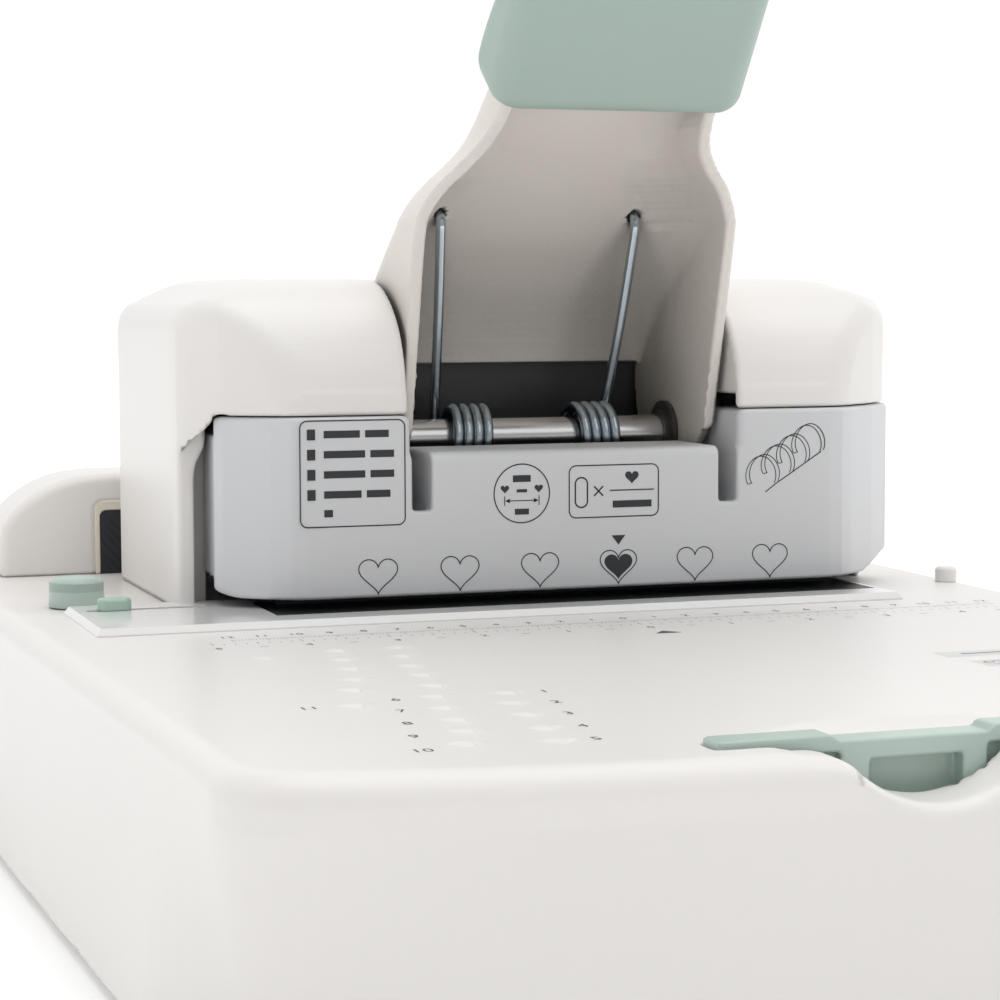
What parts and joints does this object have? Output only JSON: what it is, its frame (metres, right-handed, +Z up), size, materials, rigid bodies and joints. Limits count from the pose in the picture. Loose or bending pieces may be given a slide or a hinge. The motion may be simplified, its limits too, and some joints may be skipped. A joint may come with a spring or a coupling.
{
  "type": "lever hole punch for wire binding",
  "caption": "Lever-operated paper punch with a wide flat base, a heart-hole punching head, a tall return-sprung handle and a rear wire closer.",
  "frame": {"origin": "middle of the base on the table, under the rubber feet", "axes": "+Z up, +Y from the front edge to the wire closer, +X to the user's right"},
  "size_m": [0.3408, 0.456, 0.3258],
  "materials": {
    "shell_white": "moulded warm white plastic, satin gloss",
    "cover_grey": "moulded grey plastic",
    "rubber_black": "matt black rubber",
    "zinc_steel": "zinc plated",
    "frame_steel": "pressed steel",
    "throat_white": "glossy light grey plastic",
    "die_steel": "blackened ground steel",
    "black_plastic": "black plastic",
    "bright_steel": "ground bright steel",
    "panel_grey": "light grey moulded plastic with printed marks",
    "bush_bronze": "sintered bronze",
    "bezel_cream": "cream plastic",
    "pad_black": "ribbed black rubber",
    "washer_dark": "dark plastic",
    "lever_white": "moulded warm white plastic, satin",
    "grip_mint": "mint green moulded plastic, fine matt",
    "accent_mint": "mint green moulded plastic",
    "spring_steel": "drawn spring wire"
  },
  "bodies": {
    "root": {"base_shell": "shell_white", "base_bottom_cover": "cover_grey", "rubber_feet": "rubber_black", "cover_screws": "zinc_steel", "deck_screws": "zinc_steel", "frame_plate": "frame_steel", "frame_bolts": "zinc_steel", "side_frame_left": "frame_steel", "side_frame_right": "frame_steel", "throat_plate": "throat_white", "die_plate": "die_steel", "paper_stop": "black_plastic", "guide_plate": "die_steel", "guide_posts": "bright_steel", "head_casing": "shell_white", "front_cover": "panel_grey", "head_screws": "zinc_steel", "shaft_bushes": "bush_bronze", "rear_housing": "shell_white", "closer_bezel": "bezel_cream", "closer_pad": "pad_black", "edge_peg": "shell_white"},
    "lever": {"pivot_shaft": "bright_steel", "shaft_washers": "washer_dark", "crank_left": "frame_steel", "crank_right": "frame_steel", "handle_arm": "lever_white", "handle_grip": "grip_mint", "spring_left": "spring_steel", "spring_right": "spring_steel"},
    "punch": {"punch_bar": "frame_steel", "punch_pins": "bright_steel"},
    "closer": {"closer_slide": "frame_steel", "closer_jaw": "black_plastic"},
    "knob": {"size_knob": "grip_mint"},
    "slider": {"edge_slider": "accent_mint"},
    "carry": {"carry_handle": "grip_mint"},
    "tray": {"chip_tray": "grip_mint"}
  },
  "joints": [
    {"name": "lever_hinge", "type": "hinge", "parent": "root", "child": "lever", "pos_m": [0.013, 0.082, 0.1189], "axis": [1, 0, 0], "range_deg": [0, 58], "stiffness_Nm_per_rad": 1, "springref_deg": -34.38},
    {"name": "punch_press", "type": "slide", "parent": "root", "child": "punch", "axis": [0, 0, -1], "range_m": [0, 0.0081]},
    {"name": "closer_press", "type": "slide", "parent": "root", "child": "closer", "axis": [0, 1, 0], "range_m": [0, 0.0101]},
    {"name": "knob_turn", "type": "hinge", "parent": "root", "child": "knob", "pos_m": [-0.1323, 0.096, 0.07], "axis": [0, 0, 1], "range_deg": [0, 270]},
    {"name": "slider_move", "type": "slide", "parent": "root", "child": "slider", "axis": [1, 0, 0], "range_m": [-0.003, 0.022]},
    {"name": "carry_lift", "type": "slide", "parent": "root", "child": "carry", "axis": [0, 0, 1], "range_m": [0, 0.038]},
    {"name": "tray_slide", "type": "slide", "parent": "root", "child": "tray", "axis": [1, 0, 0], "range_m": [0, 0.12]}
  ],
  "couplings": [
    {"joint": "punch_press", "follows": "lever_hinge", "m_per_rad": 0.0079022},
    {"joint": "closer_press", "follows": "lever_hinge", "m_per_rad": 0.0098658}
  ]
}
